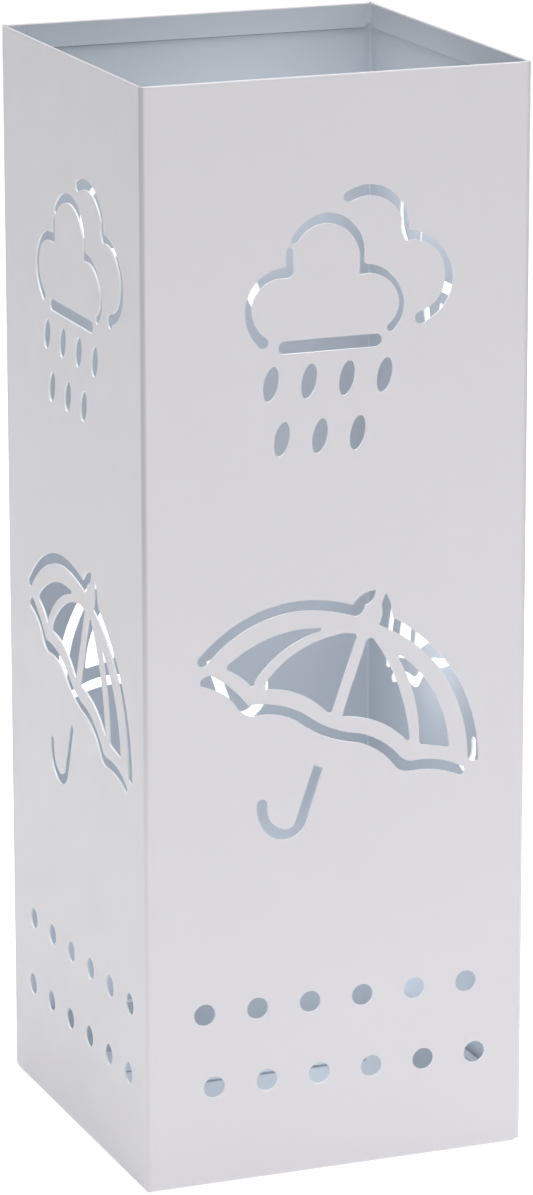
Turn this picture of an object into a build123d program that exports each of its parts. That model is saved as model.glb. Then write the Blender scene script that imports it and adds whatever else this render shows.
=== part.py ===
from build123d import *
import math
import os

# Square umbrella stand in folded and powder-coated sheet steel, open at the top,
# with a cloud, rain, an umbrella and rows of round holes cut through its four walls.
#
# All sizes are in millimetres. The origin is on the floor at the middle of the square
# footprint and +Z is up. The front wall is on the -Y side and the left wall on the -X side.

# Driving sizes
width = 180.0  # outside of the square footprint
overall_height = 495.0
sheet = 0.8  # thickness of the steel sheet
pad_thickness = 1.0

# Folds and seams
fold_radius = 2.0  # outside radius of the four upright corners
bottom_fold_radius = 1.2
flange_width = 12.0  # inward flange round the bottom
hem_depth = 11.5  # flap folded flat against the inside of the rim
hem_setback = 2.0  # the flap stops this far from the outside of each corner
hem_chamfer = 2.5
rim_rounding = 0.7  # top edge of the sheet at the corners, between one hem and the next
seam_from_corner = 12.0
seam_gap = 0.1
tongue_length = 9.0  # part of a wall that laps behind its neighbour at a seam
tongue_root = 1.6
tongue_clearance = 1.0  # the tongue stops this far from the base plate and from the hem
relief_width = 2.8  # little opening at the foot of each seam corner
relief_height = 1.5

# Base plate, foot pads and drip tray
plate_gap = 0.4
plate_corner = 2.0
pad_radius = 4.0
pad_from_centre = 82.6
tray_foot_side = 164.0
tray_top_side = 168.0
tray_corner = 9.0
tray_height = 25.0
tray_wall = 1.8
tray_floor = 2.0
tray_lip = 2.2  # how far the rim of the tray stands out
tray_lip_height = 1.8
rib_count = 5
rib_spacing = 26.0
rib_length = 124.0
rib_width = 3.0
rib_height = 1.2

# Places worked out from the driving sizes
half = width / 2
sheet_bottom = pad_thickness
sheet_height = overall_height - pad_thickness
plate_bottom = sheet_bottom + sheet
tray_bottom = plate_bottom + sheet

# Cut-outs. Each wall is set out from its top left corner as seen from outside the stand:
# first the distance across, then the distance down from the rim. The distances are for a wall
# of the drawn size, and the drawing follows the wall when the stand is made wider or taller.
drawn_width = 180.0
drawn_height = 497.0
drop_half_width = 3.45
drop_half_length = 7.75
drop_lean = 12.0  # degrees
drop_pitch = 17.6
drop_rows = [(59.0, 132.9, 4), (64.1, 157.6, 3)]  # first drop's across and down, then the number
hole_radius = 5.0
hole_count = 6
hole_rows = [(27.3, 415.8), (31.7, 450.0)]  # first hole's across and down
hole_pitch = 25.0
cut_clearance = 1.0

# The left wall differs a little from the other three: its drawing is stretched and shifted
# (first across, then down), and its rows of holes start elsewhere.
left_sky_stretch = (1.185, 0.936)
left_sky_shift = (-12.2, 6.0)
left_umbrella_stretch = (1.03, 1.0)
left_umbrella_shift = (1.8, -1.7)
left_hole_rows = [(29.2, 414.0), (27.0, 447.0)]
left_hole_pitch = 25.8


class Layout:
    """Where the drawing of one wall goes: a stretch, then a shift, of the standard drawing."""

    def __init__(self, stretch=(1.0, 1.0), shift=(0.0, 0.0)):
        self.stretch_across, self.stretch_down = stretch
        self.shift_across, self.shift_down = shift
        self.scale_across = width / drawn_width
        self.scale_down = overall_height / drawn_height

    def place(self, across, down):
        """Point of the drawing as seen from outside, from the foot of the wall's middle line."""
        x = (across * self.stretch_across + self.shift_across) * self.scale_across - half
        y = overall_height - (down * self.stretch_down + self.shift_down) * self.scale_down
        return (x, y)


def outline(layout, start, *runs):
    """Closed face. A run is a point to go straight to, or a point to pass and one to reach."""
    edges = []
    here = layout.place(*start)
    for run in runs:
        if isinstance(run[0], tuple):
            through, end = layout.place(*run[0]), layout.place(*run[1])
            edges.append(ThreePointArc(here, through, end))
        else:
            end = layout.place(*run)
            edges.append(Line(here, end))
        here = end
    return make_face(Wire(edges))


def front_cloud_top(layout):
    """Slot from the crown of the front cloud over its right shoulder to the lower right."""
    return outline(
        layout,
        (68.7, 69.4),
        ((74.8, 62.8), (85.0, 59.5)),
        ((97.2, 65.1), (102.4, 77.5)),
        (102.2, 82.0),
        ((102.8, 83.0), (104.2, 83.4)),
        ((115.3, 89.2), (120.8, 101.0)),
        ((119.9, 107.6), (116.4, 113.0)),
        ((113.4, 113.6), (113.3, 110.9)),
        ((117.4, 105.8), (118.4, 100.0)),
        ((113.7, 91.4), (105.0, 87.6)),
        (99.9, 87.8),
        (100.2, 79.0),
        ((94.7, 68.4), (84.5, 64.2)),
        ((77.2, 66.1), (71.8, 71.0)),
        ((69.2, 71.9), (68.7, 69.4)),
    )


def front_cloud_side(layout):
    """Slot down the neck of the front cloud and round its left shoulder."""
    return outline(
        layout,
        (66.0, 75.3),
        ((67.7, 73.6), (69.4, 75.3)),
        (69.4, 84.5),
        ((68.7, 86.3), (66.8, 87.0)),
        (61.5, 87.0),
        ((53.4, 91.8), (50.3, 100.7)),
        ((52.7, 108.0), (57.4, 112.9)),
        ((57.2, 116.5), (53.8, 116.2)),
        ((48.8, 109.3), (47.0, 101.0)),
        ((51.5, 88.7), (61.5, 82.5)),
        (66.0, 82.2),
        (66.0, 75.3),
    )


def cloud_base(layout):
    """Straight slot under the front cloud, with round ends."""
    return outline(
        layout,
        (65.4, 114.4),
        (107.6, 114.4),
        ((110.5, 117.3), (107.6, 120.2)),
        (65.4, 120.2),
        ((62.5, 117.3), (65.4, 114.4)),
    )


def rear_cloud(layout):
    """Slot round the part of the second cloud that shows behind the first."""
    return outline(
        layout,
        (94.2, 51.0),
        ((106.0, 48.7), (116.6, 53.6)),
        ((121.6, 60.8), (123.1, 69.9)),
        ((136.0, 75.6), (143.6, 90.0)),
        ((141.4, 101.4), (131.4, 110.3)),
        ((126.0, 109.4), (128.6, 106.1)),
        ((136.8, 100.6), (139.8, 90.5)),
        ((134.2, 78.0), (121.5, 74.6)),
        ((120.2, 72.4), (119.6, 64.5)),
        ((113.6, 56.6), (104.0, 53.6)),
        ((99.8, 54.2), (95.8, 55.8)),
        ((92.6, 54.4), (94.2, 51.0)),
    )


def canopy_left(layout):
    """Upper left edge of the umbrella, ending at its tip."""
    return outline(
        layout,
        (26.0, 251.4),
        ((47.3, 236.1), (73.0, 230.6)),
        ((85.5, 231.8), (97.2, 235.1)),
        ((102.0, 230.6), (108.2, 229.4)),
        ((106.7, 233.6), (103.0, 235.6)),
        ((101.3, 239.4), (98.6, 240.4)),
        ((86.0, 236.9), (73.0, 235.4)),
        ((50.6, 239.9), (31.6, 252.6)),
        (28.9, 255.4),
        ((25.3, 255.4), (26.0, 251.4)),
    )


def canopy_right(layout):
    """Right half of the umbrella's tip and its long right edge."""
    return outline(
        layout,
        (112.2, 232.1),
        ((112.9, 231.6), (113.6, 232.1)),
        (115.3, 235.6),
        (116.4, 242.6),
        ((134.8, 257.2), (148.0, 274.2)),
        ((155.2, 292.9), (157.5, 312.4)),
        ((154.8, 312.6), (152.4, 311.0)),
        ((149.2, 289.9), (141.0, 271.4)),
        ((129.2, 257.9), (116.0, 248.6)),
        (109.5, 245.2),
        ((111.2, 240.4), (110.8, 236.2)),
        (112.2, 232.1),
    )


def canopy_panels(layout):
    """The four openings between the ribs of the umbrella."""
    first = outline(
        layout,
        (39.4, 255.8),
        ((55.5, 246.9), (73.5, 243.4)),
        (81.8, 243.8),
        ((82.5, 244.7), (81.6, 245.6)),
        ((66.1, 251.6), (53.4, 262.6)),
        ((51.8, 264.6), (51.2, 266.4)),
        ((50.1, 267.2), (48.9, 266.3)),
        ((44.8, 262.4), (39.6, 259.4)),
        ((38.4, 257.5), (39.4, 255.8)),
    )
    second = outline(
        layout,
        (57.8, 264.2),
        ((71.6, 253.3), (88.5, 247.9)),
        ((94.0, 247.4), (98.8, 248.5)),
        ((99.2, 249.6), (98.6, 251.2)),
        (88.0, 281.4),
        ((86.8, 283.1), (85.2, 282.5)),
        ((71.9, 272.9), (56.2, 269.3)),
        ((56.5, 266.6), (57.8, 264.2)),
    )
    third = outline(
        layout,
        (103.4, 252.8),
        ((105.2, 250.9), (107.6, 251.8)),
        ((119.2, 274.3), (124.7, 299.0)),
        ((123.9, 299.8), (122.8, 299.2)),
        ((108.6, 289.2), (92.0, 285.5)),
        ((97.6, 269.1), (103.4, 252.8)),
    )
    fourth = outline(
        layout,
        (118.1, 259.9),
        (120.3, 260.4),
        ((136.1, 278.6), (143.5, 304.0)),
        ((142.9, 304.8), (141.6, 304.6)),
        (131.2, 302.5),
        ((129.6, 301.8), (129.0, 300.2)),
        ((126.4, 279.4), (118.1, 259.9)),
    )
    return [first, second, third, fourth]


def canopy_hem(layout):
    """Band along the scalloped lower edge of the umbrella: four scallops."""
    return outline(
        layout,
        (25.7, 262.6),
        ((28.6, 260.4), (33.2, 261.7)),
        ((42.2, 268.6), (48.2, 275.6)),
        ((64.6, 277.6), (78.8, 285.4)),
        ((88.8, 290.8), (100.0, 293.7)),
        ((110.8, 298.5), (119.6, 306.2)),
        ((122.4, 308.5), (126.0, 309.3)),
        ((138.2, 310.0), (149.4, 314.4)),
        ((150.9, 317.4), (147.8, 318.2)),
        ((137.2, 314.7), (126.0, 314.0)),
        ((120.9, 313.4), (117.0, 310.2)),
        ((107.6, 301.6), (96.0, 297.4)),
        ((83.0, 293.0), (71.4, 285.3)),
        ((61.2, 281.3), (50.0, 281.0)),
        ((45.4, 278.7), (41.6, 273.8)),
        ((37.0, 269.6), (31.6, 266.8)),
        ((28.9, 265.7), (26.0, 264.7)),
        (25.7, 262.6),
    )


def handle(layout):
    """Crook of the umbrella: square upper end, round lower end."""
    return outline(
        layout,
        (79.0, 306.0),
        (83.1, 308.1),
        (75.4, 331.6),
        ((70.0, 337.9), (61.8, 338.4)),
        ((54.3, 332.0), (52.1, 322.4)),
        ((54.6, 319.2), (57.1, 322.4)),
        ((58.9, 330.0), (65.0, 334.1)),
        ((68.5, 333.3), (70.5, 330.2)),
        (79.0, 306.0),
    )


def drops(layout):
    """Rain: leaning ovals in two rows."""
    shapes = []
    across_radius = drop_half_width * layout.stretch_across
    down_radius = drop_half_length * layout.stretch_down
    stretched_tangent = math.tan(math.radians(drop_lean)) * layout.stretch_across / layout.stretch_down
    lean = math.degrees(math.atan(stretched_tangent))
    for first_across, down, count in drop_rows:
        for number in range(count):
            centre = layout.place(first_across + number * drop_pitch, down)
            shapes.append(Pos(*centre) * Ellipse(across_radius, down_radius, rotation=-lean))
    return shapes


def round_holes(rows, pitch):
    """Rows of equal round holes; each row has its first hole's distance across and down."""
    layout = Layout()
    shapes = []
    for first_across, down in rows:
        for number in range(hole_count):
            centre = layout.place(first_across + number * pitch, down)
            shapes.append(Pos(*centre) * Circle(hole_radius))
    return shapes


def wall_drawing(sky, umbrella, rows, pitch):
    """Every opening of one wall. The clouds and rain have one layout and the umbrella another."""
    shapes = [front_cloud_top(sky), front_cloud_side(sky), cloud_base(sky), rear_cloud(sky)]
    shapes += drops(sky)
    shapes += [canopy_left(umbrella), canopy_right(umbrella)]
    shapes += canopy_panels(umbrella)
    shapes += [canopy_hem(umbrella), handle(umbrella)]
    shapes += round_holes(rows, pitch)
    return shapes


def standard_drawing():
    """The front, right and back walls share this drawing."""
    return wall_drawing(Layout(), Layout(), hole_rows, hole_pitch)


def left_drawing():
    """The left wall has wider clouds and rain, and its rows of holes start elsewhere."""
    sky = Layout(left_sky_stretch, left_sky_shift)
    umbrella = Layout(left_umbrella_stretch, left_umbrella_shift)
    return wall_drawing(sky, umbrella, left_hole_rows, left_hole_pitch)


def wall_cutters(outward, drawing):
    """Tools that cut a drawing through the wall that faces the given direction."""
    across = Vector(0, 0, 1).cross(outward)
    face_plane = Plane(origin=outward * (half + cut_clearance), x_dir=across, z_dir=outward)
    depth = sheet + 2 * cut_clearance
    return [extrude(face_plane * shape, amount=-depth) for shape in drawing]


def upright_box(x_range, y_range, z_range):
    """Box between the given limits."""
    sizes = [high - low for low, high in (x_range, y_range, z_range)]
    middles = [(high + low) / 2 for low, high in (x_range, y_range, z_range)]
    return Pos(*middles) * Box(*sizes)


def square_tube(side, corner, bottom, top):
    """Solid square block with rounded upright corners."""
    return Pos(0, 0, bottom) * extrude(RectangleRounded(side, side, corner), amount=top - bottom)


def hem(turn):
    """Flap folded flat against the inside of one wall, and the round fold that carries it."""
    flap_top = overall_height - sheet
    flap_bottom = overall_height - hem_depth
    end = half - hem_setback
    flap_shape = Polyline(
        (-end, flap_top),
        (-end, flap_bottom + hem_chamfer),
        (-end + hem_chamfer, flap_bottom),
        (end - hem_chamfer, flap_bottom),
        (end, flap_bottom + hem_chamfer),
        (end, flap_top),
        close=True,
    )
    inside_face = Plane(origin=(0, -half + sheet, 0), x_dir=(1, 0, 0), z_dir=(0, -1, 0))
    flap = extrude(inside_face * make_face(flap_shape), amount=-sheet)
    fold = Pos(0, -half + sheet, flap_top) * Rot(0, 90, 0) * Cylinder(sheet, 2 * end)
    return Rot(0, 0, turn) * (flap + fold)


def square_edge_strip(turn):
    """Top of one wall, taken off where the hem's round fold goes."""
    end = half - hem_setback
    strip = upright_box(
        (-end, end),
        (-half - cut_clearance, -half + sheet),
        (overall_height - sheet, overall_height + cut_clearance),
    )
    return Rot(0, 0, turn) * strip


def whole_box():
    """The four walls with their folds, bottom flange and hems, before it is parted in two."""
    outside = square_tube(width, fold_radius, sheet_bottom, overall_height)
    outside = fillet(outside.faces().sort_by(Axis.Z)[0].edges(), bottom_fold_radius)
    outside = fillet(outside.faces().sort_by(Axis.Z)[-1].edges(), rim_rounding)
    inner_side = width - 2 * sheet
    inside = square_tube(inner_side, fold_radius - sheet, plate_bottom, overall_height + cut_clearance)
    mouth = upright_box(
        (-half + flange_width, half - flange_width),
        (-half + flange_width, half - flange_width),
        (0, plate_bottom + cut_clearance),
    )
    box = outside - inside - mouth
    for quarter in range(4):
        turn = 90 * quarter
        box = box - square_edge_strip(turn) + hem(turn)
    return box


def relief(x_side, y_side):
    """Little opening at the foot of a seam corner, where two flanges would meet."""
    centre_x = x_side * (half - relief_width / 2)
    centre_y = y_side * (half - relief_width / 2)
    opening = Box(relief_width + sheet, relief_width + sheet, 2 * relief_height)
    return Pos(centre_x, centre_y, sheet_bottom) * opening


def tongue():
    """Edge of the right wall, set in by one sheet so that it laps behind the front sheet."""
    seam = -half + seam_from_corner + seam_gap
    outer = half - sheet
    shape = Polyline(
        (outer, seam - tongue_length),
        (outer, seam + 2 * tongue_root),
        (outer - sheet, seam + tongue_root),
        (outer - sheet, seam - tongue_length),
        close=True,
    )
    bottom = tray_bottom + tongue_clearance
    top = overall_height - hem_depth - tongue_clearance
    return Pos(0, 0, bottom) * extrude(make_face(shape), amount=top - bottom)


def front_left_region():
    """Space of the sheet that makes the front and left walls and their two short returns."""
    reach = half + cut_clearance
    seam = -half + seam_from_corner
    heights = (0, overall_height + cut_clearance)
    return upright_box((-reach, reach), (-reach, seam), heights) + upright_box(
        (-reach, seam), (-reach, reach), heights
    )


def back_right_region():
    """Space of the sheet that makes the back and right walls."""
    reach = half + cut_clearance
    seam = -half + seam_from_corner + seam_gap
    return upright_box((seam, reach), (seam, reach), (0, overall_height + cut_clearance))


def front_left_sheet(box):
    """Sheet folded at the near left corner, with short returns past the other two."""
    part = box & front_left_region()
    part = part - relief(1, -1) - relief(-1, 1)
    cutters = wall_cutters(Vector(0, -1, 0), standard_drawing())
    cutters += wall_cutters(Vector(-1, 0, 0), left_drawing())
    return part - cutters


def back_right_sheet(box):
    """Sheet folded at the far right corner; both its edges lap behind the other sheet."""
    part = box & back_right_region()
    right_tongue = tongue()
    back_tongue = mirror(right_tongue, Plane(origin=(0, 0, 0), z_dir=(1, -1, 0)))
    part = part + right_tongue + back_tongue
    cutters = wall_cutters(Vector(1, 0, 0), standard_drawing())
    cutters += wall_cutters(Vector(0, 1, 0), standard_drawing())
    return part - cutters


def base_plate():
    """Flat steel plate welded on the bottom flange; it carries the tray."""
    side = width - 2 * (sheet + plate_gap)
    return square_tube(side, plate_corner, plate_bottom, tray_bottom)


def tray_body(foot_side, top_side, corner, bottom, top):
    """Block with a little draft, a rounded square at every height."""
    foot = Pos(0, 0, bottom) * RectangleRounded(foot_side, foot_side, corner)
    head = Pos(0, 0, top) * RectangleRounded(top_side, top_side, corner)
    return loft([foot, head])


def drip_tray():
    """Moulded plastic tray that catches the water; it lifts out through the mouth."""
    top = tray_bottom + tray_height
    outer = tray_body(tray_foot_side, tray_top_side, tray_corner, tray_bottom, top)
    lip_side = tray_top_side + 2 * tray_lip
    lip = square_tube(lip_side, tray_corner + tray_lip, top - tray_lip_height, top)
    floor = tray_bottom + tray_floor
    draft = (tray_top_side - tray_foot_side) / tray_height
    hollow_foot = tray_foot_side - 2 * tray_wall + draft * tray_floor
    hollow_head = tray_top_side - 2 * tray_wall + draft * cut_clearance
    hollow = tray_body(hollow_foot, hollow_head, tray_corner - tray_wall, floor, top + cut_clearance)
    tray = outer + lip - hollow
    for number in range(rib_count):
        offset = (number - (rib_count - 1) / 2) * rib_spacing
        rib = Pos(0, offset, floor) * extrude(SlotOverall(rib_length, rib_width), amount=rib_height)
        tray = tray + rib
    return tray


def foot_pad():
    """Thin self-adhesive pad."""
    return Pos(0, 0, pad_thickness / 2) * Cylinder(pad_radius, pad_thickness)


def write(name, solid):
    """Save one piece under the name of its node."""
    export_step(solid, os.path.join("parts", name + ".step"))


os.makedirs("parts", exist_ok=True)
box = whole_box()
write("front_left_sheet", front_left_sheet(box))
write("back_right_sheet", back_right_sheet(box))
write("base_plate", base_plate())
write("drip_tray", drip_tray())
for y_name, y_side in (("front", -1), ("back", 1)):
    for x_name, x_side in (("left", -1), ("right", 1)):
        place = Pos(x_side * pad_from_centre, y_side * pad_from_centre, 0)
        write("foot_pad_" + y_name + "_" + x_name, place * foot_pad())
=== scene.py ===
import math

import bmesh
import bpy
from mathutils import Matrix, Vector


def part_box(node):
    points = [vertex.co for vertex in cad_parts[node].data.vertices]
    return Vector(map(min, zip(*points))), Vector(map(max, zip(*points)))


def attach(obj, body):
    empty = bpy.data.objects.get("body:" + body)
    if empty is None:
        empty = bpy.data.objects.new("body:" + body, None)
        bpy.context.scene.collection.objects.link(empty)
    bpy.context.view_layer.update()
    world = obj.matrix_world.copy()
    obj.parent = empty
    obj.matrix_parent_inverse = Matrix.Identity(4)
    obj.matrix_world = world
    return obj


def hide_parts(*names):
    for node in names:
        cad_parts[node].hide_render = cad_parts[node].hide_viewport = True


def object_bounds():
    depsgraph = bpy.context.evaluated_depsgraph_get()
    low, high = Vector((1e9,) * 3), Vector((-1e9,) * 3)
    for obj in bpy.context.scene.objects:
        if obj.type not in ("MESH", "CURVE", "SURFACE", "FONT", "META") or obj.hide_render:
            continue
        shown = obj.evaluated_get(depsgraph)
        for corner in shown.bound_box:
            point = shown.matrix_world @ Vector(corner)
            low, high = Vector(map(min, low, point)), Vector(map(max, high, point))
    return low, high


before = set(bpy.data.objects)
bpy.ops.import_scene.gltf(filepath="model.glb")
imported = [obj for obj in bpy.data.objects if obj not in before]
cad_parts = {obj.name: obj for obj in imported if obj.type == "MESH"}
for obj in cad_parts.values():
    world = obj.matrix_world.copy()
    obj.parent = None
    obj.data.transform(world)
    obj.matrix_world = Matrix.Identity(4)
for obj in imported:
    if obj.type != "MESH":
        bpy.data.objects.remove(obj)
cad_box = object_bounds()

# Lengths are in metres. The frame has its origin on the floor at the middle of the footprint,
# +Z up, the front wall at -Y and the left wall at -X.
MM = 0.001
HIGH = Vector(cad_box[1])
HALF = HIGH.x
TOP = HIGH.z
PLATE_LOW, PLATE_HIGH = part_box("base_plate")
SHEET = PLATE_HIGH.z - PLATE_LOW.z
SHEET_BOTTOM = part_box("front_left_sheet")[0].z
SHEET_NODES = ("front_left_sheet", "back_right_sheet")
PAD_NODES = [name for name in sorted(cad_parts) if name.startswith("foot_pad")]

# Rounded edges
CUT_ROUNDING = 0.36 * MM
TRAY_ROUNDING = 0.4 * MM
PAD_ROUNDING = 0.2 * MM
ROUNDING_SEGMENTS = 3
CUT_ANGLE = 60.0  # degrees: the sheet turns at least this much at a cut edge
SHARP_ANGLE = 40.0  # degrees: an edge that turns more is sharp, and rounded on a moulding

# Cleaning up the CAD meshes
JOIN_DISTANCE = 0.0005 * MM
SAME_FACE_ANGLE = 0.5  # degrees
FLAT_NORMAL = 0.9999  # a wall's normal has at least this much along X or Y
ON_WALL = 0.01 * MM  # a face this near to a wall's plane is part of it

# Where the faces of the sheet lie
FOLD_REACH = 1.9 * MM  # the upright folds lie this near to the outside of two walls
RIM_ZONE = 14.0 * MM  # the hem lies this near to the top
RIM_FOLD = 1.0 * MM  # the round fold at the rim lies this near to the top
CUT_DEPTH = 0.1 * SHEET  # a cut edge's middle lies deeper than this, and the outside doesn't
INSIDE_DEPTH = 0.8 * SHEET  # the inside lies deeper than this
UNDERSIDE = SHEET_BOTTOM + 0.2 * SHEET  # the underside of the flange lies lower than this

# Fillet welds at the corners of the hem
WELD_LEG = 1.6 * MM
WELD_ROOT = 0.3 * MM
WELD_STEPS = 6
WELD_TOP = TOP - 0.7 * MM
WELD_BOTTOM = TOP - 9.2 * MM

# Painted shade on the outside coat: darker on the upright folds, more so higher up, and a painted
# shadow line at the foot of the left wall
FOLD_SHADE_TONE = 0.76
FOLD_DARK_OUTER = 2.4 * MM
FOLD_DARK_INNER = 1.1 * MM
FOLD_FADE_LOW = 0.16
FOLD_FADE_HIGH = 0.30
FOOT_SHADOW_LINE = 0.5 * MM

# Painted shadow on the inside coat: a darker line in the crevice under the hem
HEM_SHADOW_TONE = 0.45
HEM_SHADOW_HEIGHT = TOP - 11.65 * MM  # just under the hem's lower edge
HEM_SHADOW_HALF = 0.15 * MM
HEM_SHADOW_END = 4.0 * MM  # the painted shadow ends this far from the outside of each corner

# Painted light and shade by height: the outside lighter at the foot and darker up to the rim, the
# inside lighter from the foot up to a low height
PAINTED_FOOT_LIGHT = 1.035
PAINTED_RIM_SHADE = 0.965
PAINTED_INSIDE_FOOT_LIGHT = 1.4
INSIDE_FADE_HEIGHT = 0.12

# Colours, each as the lighter and the darker of its two tones
OUTSIDE_TONES = (0.695, 0.681, 0.719), (0.685, 0.672, 0.709)
# the inside tones are the outside coat with painted shade: darker and cooler
SHADED_INSIDE_TONES = (0.600, 0.640, 0.690), (0.580, 0.620, 0.670)
# the edge tones are the coat with a painted highlight, paler than the walls
HIGHLIGHT_EDGE_TONES = (0.930, 0.925, 0.945), (0.900, 0.895, 0.915)
# the tray tones are its pale plastic with painted shade, darker and cooler, as in the shade inside
# the stand
SHADED_TRAY_TONES = (0.510, 0.550, 0.600), (0.480, 0.520, 0.570)
RUBBER_TONES = (0.060, 0.060, 0.062), (0.035, 0.035, 0.037)
FLOOR_TONES = (0.92, 0.92, 0.92), (0.90, 0.90, 0.90)
SPECKLE_TONE = 0.97
WHITE = (1.0, 1.0, 1.0, 1.0)

# Most of a noise's values lie between these two
NOISE_LOW = 0.3
NOISE_HIGH = 0.7

# The speckle sets in and is strongest at these values of its noise
SPECKLE_LOW = 0.62
SPECKLE_HIGH = 0.74
SPECKLE_MOST = 0.35

# Material slots of a steel piece
OUTSIDE, INSIDE, CUT_EDGE = range(3)


# ---------------------------------------------------------------- node helpers

class Nodes:
    """A material's node tree, with short calls for the nodes that the materials here use."""

    def __init__(self, name):
        self.material = bpy.data.materials.new(name)
        self.material.use_nodes = True
        self.tree = self.material.node_tree
        self.shader = self.tree.nodes["Principled BSDF"]
        coordinates = self.tree.nodes.new("ShaderNodeTexCoord")
        self.place = coordinates.outputs["Object"]

    def link(self, source, target):
        self.tree.links.new(source, target)

    def noise(self, scale, detail=2.0):
        """Noise of that many features per metre, from 0 to 1."""
        node = self.tree.nodes.new("ShaderNodeTexNoise")
        node.inputs["Scale"].default_value = scale
        node.inputs["Detail"].default_value = detail
        self.link(self.place, node.inputs["Vector"])
        return node.outputs["Fac"]

    def ramp(self, value, low, high, from_low=0.0, from_high=1.0):
        """Value moved from one range to another, held at its ends."""
        node = self.tree.nodes.new("ShaderNodeMapRange")
        node.inputs["From Min"].default_value = from_low
        node.inputs["From Max"].default_value = from_high
        node.inputs["To Min"].default_value = low
        node.inputs["To Max"].default_value = high
        self.link(value, node.inputs["Value"])
        return node.outputs["Result"]

    def mix(self, factor, first, second):
        """Mix of two colours, each a colour or an output."""
        node = self.tree.nodes.new("ShaderNodeMix")
        node.data_type = "RGBA"
        self.link(factor, node.inputs["Factor"])
        for socket, colour in ((node.inputs[6], first), (node.inputs[7], second)):
            if isinstance(colour, bpy.types.NodeSocket):
                self.link(colour, socket)
            else:
                socket.default_value = (*colour, 1.0)
        return node.outputs[2]

    def calculate(self, operation, first, second=None):
        """One step of arithmetic on outputs or plain numbers."""
        node = self.tree.nodes.new("ShaderNodeMath")
        node.operation = operation
        for socket, value in zip(node.inputs, (first, second)):
            if isinstance(value, bpy.types.NodeSocket):
                self.link(value, socket)
            elif value is not None:
                socket.default_value = value
        return node.outputs[0]

    def axes(self):
        """The three coordinates of the point being shaded."""
        node = self.tree.nodes.new("ShaderNodeSeparateXYZ")
        self.link(self.place, node.inputs[0])
        return node.outputs[0], node.outputs[1], node.outputs[2]

    def scaled(self, colour, factor):
        """A colour output made darker or lighter."""
        node = self.tree.nodes.new("ShaderNodeVectorMath")
        node.operation = "SCALE"
        self.link(colour, node.inputs[0])
        node.inputs["Scale"].default_value = factor
        return node.outputs[0]

    def bump(self, height, distance):
        """Fine relief of that depth on the whole surface."""
        node = self.tree.nodes.new("ShaderNodeBump")
        node.inputs["Strength"].default_value = 1.0
        node.inputs["Distance"].default_value = distance
        self.link(height, node.inputs["Height"])
        self.link(node.outputs["Normal"], self.shader.inputs["Normal"])


# ------------------------------------------------------------------- materials

def from_middle(nodes, x, y):
    """The smaller of a point's two distances sideways from the middle, large only at the corners."""
    return nodes.calculate(
        "MINIMUM", nodes.calculate("ABSOLUTE", x), nodes.calculate("ABSOLUTE", y)
    )


def painted_fold_shade(nodes):
    """Where shade is painted: 1 on the upright folds, fading out towards the foot, and in the
    painted shadow line along the foot of the left wall.
    """
    x, y, z = nodes.axes()
    on_fold = nodes.ramp(
        from_middle(nodes, x, y), 0.0, 1.0, HALF - FOLD_DARK_OUTER, HALF - FOLD_DARK_INNER
    )
    high_up = nodes.ramp(z, 0.0, 1.0, FOLD_FADE_LOW, FOLD_FADE_HIGH)
    upright = nodes.calculate("MULTIPLY", on_fold, high_up)
    at_foot = nodes.ramp(z, 1.0, 0.0, SHEET_BOTTOM + FOOT_SHADOW_LINE, SHEET_BOTTOM + 2.0 * FOOT_SHADOW_LINE)
    on_left = nodes.ramp(x, 1.0, 0.0, MM - HALF, 2.0 * MM - HALF)
    foot = nodes.calculate("MULTIPLY", at_foot, on_left)
    return nodes.calculate("MAXIMUM", upright, foot)


def painted_hem_shadow(nodes):
    """1 in the painted shadow line in the narrow crevice under the hem, ending a little before each
    corner.
    """
    x, y, z = nodes.axes()
    clear_of_corner = nodes.ramp(
        from_middle(nodes, x, y), 1.0, 0.0, HALF - HEM_SHADOW_END - MM, HALF - HEM_SHADOW_END
    )
    off_line = nodes.calculate("ABSOLUTE", nodes.calculate("SUBTRACT", z, HEM_SHADOW_HEIGHT))
    on_line = nodes.ramp(off_line, 1.0, 0.0, HEM_SHADOW_HALF, 2.0 * HEM_SHADOW_HALF)
    return nodes.calculate("MULTIPLY", on_line, clear_of_corner)


def coat_colour(nodes, tones):
    """Slow drift between two tones, with a fine darker speckle."""
    light, dark = tones
    drift = nodes.ramp(nodes.noise(5.0, detail=3.0), 0.0, 1.0, NOISE_LOW, NOISE_HIGH)
    speckle = nodes.ramp(
        nodes.noise(1800.0, detail=1.0), 0.0, SPECKLE_MOST, SPECKLE_LOW, SPECKLE_HIGH
    )
    speckled = [channel * SPECKLE_TONE for channel in dark]
    return nodes.mix(speckle, nodes.mix(drift, dark, light), speckled)


def with_painted_shade(nodes, colour, places, tone):
    """The colour with painted shade, darker where places is 1."""
    return nodes.mix(places, colour, nodes.scaled(colour, tone))


def painted_light_by_height(nodes, colour, low_tone, high_tone, high):
    """Painted light and shade: the colour scaled by one tone at the foot of the sheet and by another
    from a height up.
    """
    height = nodes.axes()[2]
    part_way = nodes.ramp(height, 0.0, 1.0, SHEET_BOTTOM, high)
    return nodes.mix(part_way, nodes.scaled(colour, low_tone), nodes.scaled(colour, high_tone))


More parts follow.
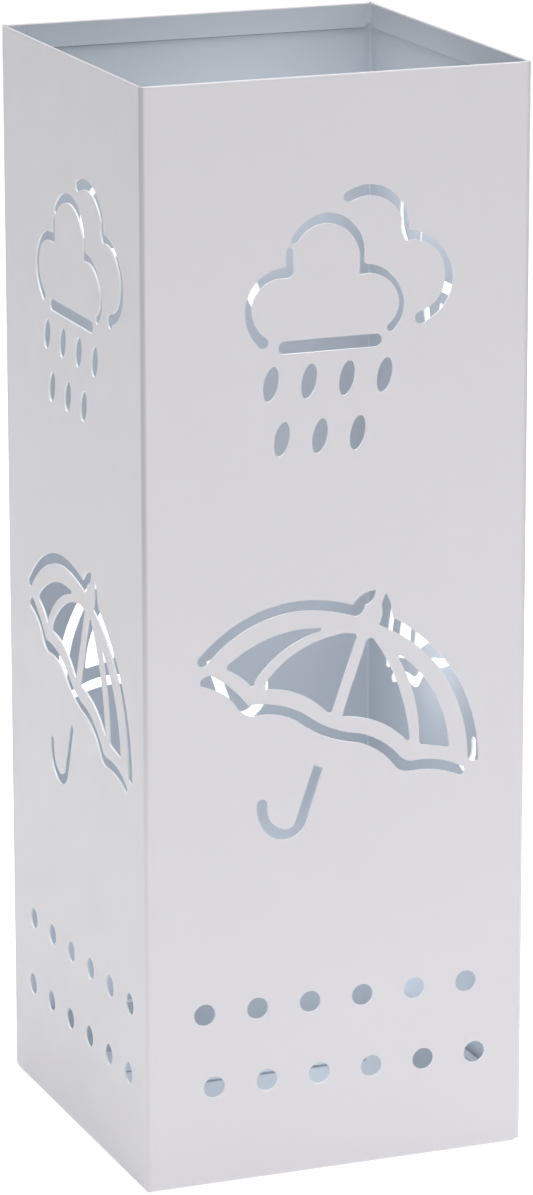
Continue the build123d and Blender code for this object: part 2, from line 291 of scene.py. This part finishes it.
def finish_coat(nodes, colour, roughness, peel):
    """Satin powder coat of that colour, with slightly uneven gloss and a fine orange peel."""
    nodes.link(colour, nodes.shader.inputs["Base Color"])
    gloss = nodes.noise(60.0, detail=4.0)
    nodes.link(
        nodes.ramp(gloss, roughness - 0.05, roughness + 0.06, NOISE_LOW, NOISE_HIGH),
        nodes.shader.inputs["Roughness"],
    )
    surface = nodes.calculate("ADD", nodes.noise(700.0, detail=2.0), nodes.noise(2400.0))
    nodes.bump(surface, peel)
    nodes.shader.inputs["Specular IOR Level"].default_value = 0.45
    return nodes.material


def outside_coat():
    nodes = Nodes("outside_coat")
    colour = coat_colour(nodes, OUTSIDE_TONES)
    # painted shade on the upright folds and a painted shadow line at the foot of the left wall
    colour = with_painted_shade(nodes, colour, painted_fold_shade(nodes), FOLD_SHADE_TONE)
    # painted light and shade: lighter towards the foot, darker towards the rim
    colour = painted_light_by_height(nodes, colour, PAINTED_FOOT_LIGHT, PAINTED_RIM_SHADE, TOP)
    return finish_coat(nodes, colour, 0.45, 0.008 * MM)


def shaded_inside_coat():
    """The inside: the outside coat's colour with painted shade, darker and cooler, duller in gloss,
    and with painted light making it lighter at its foot.
    """
    nodes = Nodes("shaded_inside_coat")
    colour = coat_colour(nodes, SHADED_INSIDE_TONES)
    # painted shadow in the crevice under the hem
    colour = with_painted_shade(nodes, colour, painted_hem_shadow(nodes), HEM_SHADOW_TONE)
    # painted light: lighter near the foot
    colour = painted_light_by_height(nodes, colour, PAINTED_INSIDE_FOOT_LIGHT, 1.0, INSIDE_FADE_HEIGHT)
    return finish_coat(nodes, colour, 0.55, 0.012 * MM)


def highlighted_edge_coat():
    """Painted highlight: cut edges are paler than the walls."""
    nodes = Nodes("highlighted_edge_coat")
    return finish_coat(nodes, coat_colour(nodes, HIGHLIGHT_EDGE_TONES), 0.40, 0.004 * MM)


def tray_plastic():
    nodes = Nodes("tray_plastic")
    # painted shade: the pale tray coloured as it looks in the shade inside the stand
    light, dark = SHADED_TRAY_TONES
    drift = nodes.ramp(nodes.noise(9.0, detail=2.0), 0.0, 1.0, NOISE_LOW, NOISE_HIGH)
    gloss = nodes.ramp(nodes.noise(40.0, detail=3.0), 0.38, 0.52, NOISE_LOW, NOISE_HIGH)
    nodes.link(nodes.mix(drift, dark, light), nodes.shader.inputs["Base Color"])
    nodes.link(gloss, nodes.shader.inputs["Roughness"])
    nodes.bump(nodes.noise(1500.0, detail=2.0), 0.02 * MM)
    return nodes.material


def pad_rubber():
    nodes = Nodes("pad_rubber")
    light, dark = RUBBER_TONES
    nodes.link(nodes.mix(nodes.noise(900.0), dark, light), nodes.shader.inputs["Base Color"])
    nodes.link(nodes.ramp(nodes.noise(300.0), 0.75, 0.9), nodes.shader.inputs["Roughness"])
    nodes.bump(nodes.noise(1200.0, detail=2.0), 0.05 * MM)
    return nodes.material


def floor_material():
    nodes = Nodes("pale_floor")
    light, dark = FLOOR_TONES
    nodes.link(nodes.mix(nodes.noise(0.8), dark, light), nodes.shader.inputs["Base Color"])
    nodes.shader.inputs["Roughness"].default_value = 0.9
    nodes.shader.inputs["Specular IOR Level"].default_value = 0.1
    nodes.shader.inputs["Emission Color"].default_value = WHITE
    nodes.shader.inputs["Emission Strength"].default_value = FLOOR_GLOW
    return nodes.material


# --------------------------------------------------------------- sheet geometry

def copied_mesh(node_name):
    """The CAD node's mesh with its triangles joined up into whole faces."""
    mesh = bmesh.new()
    mesh.from_mesh(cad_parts[node_name].data)
    bmesh.ops.remove_doubles(mesh, verts=mesh.verts, dist=JOIN_DISTANCE)
    bmesh.ops.dissolve_limit(
        mesh,
        angle_limit=math.radians(SAME_FACE_ANGLE),
        verts=mesh.verts,
        edges=mesh.edges,
        delimit={"NORMAL"},
    )
    return mesh


def corner_angle(edge):
    """Angle of an outward corner between the two faces at an edge, or 0."""
    if len(edge.link_faces) != 2 or not edge.is_convex:
        return 0.0
    return math.degrees(edge.calc_face_angle(0.0))


def lies_on_wall(face):
    """Whether a face is the flat outside or inside of one of the four walls."""
    centre = face.calc_center_median()
    for axis in range(2):
        depth = HALF - abs(centre[axis])
        flat = abs(face.normal[axis]) > FLAT_NORMAL
        if flat and min(abs(depth), abs(depth - SHEET)) < ON_WALL:
            return True
    return False


def cut_edges(mesh):
    """Edges round the openings of the walls and along their seams."""
    found = []
    for edge in mesh.edges:
        if corner_angle(edge) < CUT_ANGLE:
            continue
        heights = [vertex.co.z for vertex in edge.verts]
        in_rim_zone = min(heights) > TOP - RIM_ZONE
        walls = [lies_on_wall(face) for face in edge.link_faces]
        if any(walls) and not all(walls) and not in_rim_zone:
            found.append(edge)
    return found


def round_off(mesh, edges, width):
    """Round some edges. The new faces get the number of the edge coat."""
    bmesh.ops.bevel(
        mesh,
        geom=edges,
        offset=width,
        offset_type="OFFSET",
        segments=ROUNDING_SEGMENTS,
        profile=0.5,
        affect="EDGES",
        clamp_overlap=True,
        loop_slide=False,
        material=CUT_EDGE,
    )


def assign_coats(mesh):
    """Give each face its coat by how deep it lies under the outside of the nearest wall."""
    for face in mesh.faces:
        if face.material_index == CUT_EDGE:
            continue
        centre = face.calc_center_median()
        depth_x = HALF - abs(centre.x)
        depth_y = HALF - abs(centre.y)
        depth = min(depth_x, depth_y)
        in_fold = max(depth_x, depth_y) < FOLD_REACH
        if depth > INSIDE_DEPTH:
            face.material_index = INSIDE
        # the faces of the cut edges get the edge coat with its painted highlight
        elif depth > CUT_DEPTH and not in_fold:
            face.material_index = CUT_EDGE
        if centre.z < UNDERSIDE or centre.z > TOP - RIM_FOLD:
            face.material_index = OUTSIDE


def shade(mesh):
    """Smooth shading, broken at sharp edges."""
    for face in mesh.faces:
        face.smooth = True
    for edge in mesh.edges:
        if len(edge.link_faces) == 2 and edge.calc_face_angle(0.0) > math.radians(SHARP_ANGLE):
            edge.smooth = False


def finish_piece(mesh, name, materials, body, replaced):
    """Turn a mesh into a visible piece that rides a body."""
    data = bpy.data.meshes.new(name)
    mesh.to_mesh(data)
    mesh.free()
    for material in materials:
        data.materials.append(material)
    piece = bpy.data.objects.new(name, data)
    bpy.context.scene.collection.objects.link(piece)
    weighting = piece.modifiers.new("flat_faces_stay_flat", "WEIGHTED_NORMAL")
    weighting.keep_sharp = True
    weighting.weight = 100
    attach(piece, body)
    if replaced:
        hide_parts(*replaced)


def steel_piece(node_name, materials):
    """A sheet-steel node with its cut edges rounded, coated outside, inside and on its edges."""
    mesh = copied_mesh(node_name)
    round_off(mesh, cut_edges(mesh), CUT_ROUNDING)
    assign_coats(mesh)
    shade(mesh)
    finish_piece(mesh, node_name + "_coated", materials, "stand", [node_name])


def corner_weld(name, x_side, y_side, material):
    """Upright fillet weld where two hem flaps meet, filling the corner with a hollow curve."""
    profile = [(-WELD_ROOT, -WELD_ROOT), (WELD_LEG, -WELD_ROOT)]
    for step in range(WELD_STEPS + 1):
        turn = math.radians(90.0 * step / WELD_STEPS)
        profile.append((WELD_LEG * (1.0 - math.sin(turn)), WELD_LEG * (1.0 - math.cos(turn))))
    profile.append((-WELD_ROOT, WELD_LEG))
    flap_face = HALF - 2.0 * SHEET
    mesh = bmesh.new()
    rings = []
    for height in (WELD_BOTTOM, WELD_TOP):
        ring = []
        for along, out in profile:
            place = (x_side * (flap_face - along), y_side * (flap_face - out), height)
            ring.append(mesh.verts.new(place))
        rings.append(ring)
    count = len(profile)
    for number in range(count):
        following = (number + 1) % count
        corners = (rings[0][number], rings[0][following], rings[1][following], rings[1][number])
        mesh.faces.new(corners)
    mesh.faces.new(rings[0])
    mesh.faces.new(rings[1])
    bmesh.ops.recalc_face_normals(mesh, faces=mesh.faces)
    shade(mesh)
    finish_piece(mesh, name, [material], "stand", [])


def build_welds(material):
    number = 0
    for x_side in (-1, 1):  # left, right
        for y_side in (-1, 1):  # front, back
            number += 1
            corner_weld("hem_corner_weld_%d" % number, x_side, y_side, material)


def sharp_edges(mesh):
    return [edge for edge in mesh.edges if corner_angle(edge) > SHARP_ANGLE]


def moulded_piece(node_name, material, body, rounding):
    """A plastic or rubber node with all its outward corners rounded."""
    mesh = copied_mesh(node_name)
    round_off(mesh, sharp_edges(mesh), rounding)
    for face in mesh.faces:
        face.material_index = 0
    shade(mesh)
    finish_piece(mesh, node_name + "_moulded", [material], body, [node_name])


def build_pieces():
    coats = [outside_coat(), shaded_inside_coat(), highlighted_edge_coat()]
    for name in SHEET_NODES:
        steel_piece(name, coats)
    steel_piece("base_plate", coats)
    build_welds(coats[INSIDE])
    moulded_piece("drip_tray", tray_plastic(), "tray", TRAY_ROUNDING)
    rubber = pad_rubber()
    for name in PAD_NODES:
        moulded_piece(name, rubber, "stand", PAD_ROUNDING)


# ----------------------------------------------------------------------- stage

FLOOR_HALF = 15.0
FLOOR_GLOW = 0.54  # the floor is a faintly lit table
WORLD_GLOW = 0.12
GLOW_RADIUS = 0.02

# The camera, with lens and sensor in millimetres
SENSOR_HEIGHT = 36.0
LENS = 162.90
CAMERA_PLACE = (-0.85971, -2.19389, 0.87633)
CAMERA_TURN = (74.946, 0.086, -21.469)  # degrees


def build_floor():
    mesh = bmesh.new()
    bmesh.ops.create_grid(mesh, x_segments=4, y_segments=4, size=FLOOR_HALF)
    data = bpy.data.meshes.new("floor")
    mesh.to_mesh(data)
    mesh.free()
    data.materials.append(floor_material())
    floor = bpy.data.objects.new("floor", data)
    bpy.context.scene.collection.objects.link(floor)


def add_lamp(name, light, place):
    """A lamp that the camera itself doesn't see."""
    lamp = bpy.data.objects.new(name, light)
    bpy.context.scene.collection.objects.link(lamp)
    lamp.location = place
    lamp.visible_camera = False
    return lamp


def softbox(name, place, target, width, height, power):
    """Rectangular soft light that faces its target."""
    light = bpy.data.lights.new(name, "AREA")
    light.shape = "RECTANGLE"
    light.size = width
    light.size_y = height
    light.energy = power
    lamp = add_lamp(name, light, place)
    lamp.rotation_euler = (Vector(target) - Vector(place)).to_track_quat("-Z", "Y").to_euler()


def glow(name, place, power):
    """Small soft light inside the stand."""
    light = bpy.data.lights.new(name, "POINT")
    light.shadow_soft_size = GLOW_RADIUS
    light.energy = power
    add_lamp(name, light, place)


def build_world():
    world = bpy.data.worlds.new("studio")
    bpy.context.scene.world = world
    world.use_nodes = True
    background = world.node_tree.nodes["Background"]
    background.inputs["Color"].default_value = WHITE
    background.inputs["Strength"].default_value = WORLD_GLOW


def build_lights():
    softbox("ceiling", (1.5, 1.5, 4.5), (1.5, 1.5, 0), width=14.0, height=14.0, power=250.0)
    softbox("top_softbox", (0.2, -0.1, 3.0), (0, 0, 0.2), width=1.6, height=1.6, power=66.0)
    softbox("right_softbox", (2.4, -1.4, 1.7), (0, 0, TOP / 2), width=1.4, height=1.4, power=10.0)
    softbox(
        "front_kicker", (0.3, -0.95, 0.10), (0.02, -0.09, 0.06), width=0.9, height=0.16, power=0.25
    )
    glow("glow_corner", (0.058, 0.058, 0.05), power=0.022)
    glow("glow_low", (0.015, 0.000, 0.09), power=0.052)
    glow("glow_middle", (0.050, 0.005, 0.205), power=0.047)
    glow("glow_high", (0.030, 0.020, 0.42), power=0.083)


def build_camera():
    camera = bpy.data.cameras.new("camera")
    camera.sensor_fit = "VERTICAL"
    camera.sensor_height = SENSOR_HEIGHT
    camera.lens = LENS
    camera.clip_end = 100.0
    viewer = bpy.data.objects.new("camera", camera)
    bpy.context.scene.collection.objects.link(viewer)
    viewer.location = CAMERA_PLACE
    viewer.rotation_euler = [math.radians(angle) for angle in CAMERA_TURN]
    bpy.context.scene.camera = viewer


build_pieces()
build_floor()
build_world()
build_lights()
build_camera()
bpy.context.scene.view_settings.view_transform = "Standard"
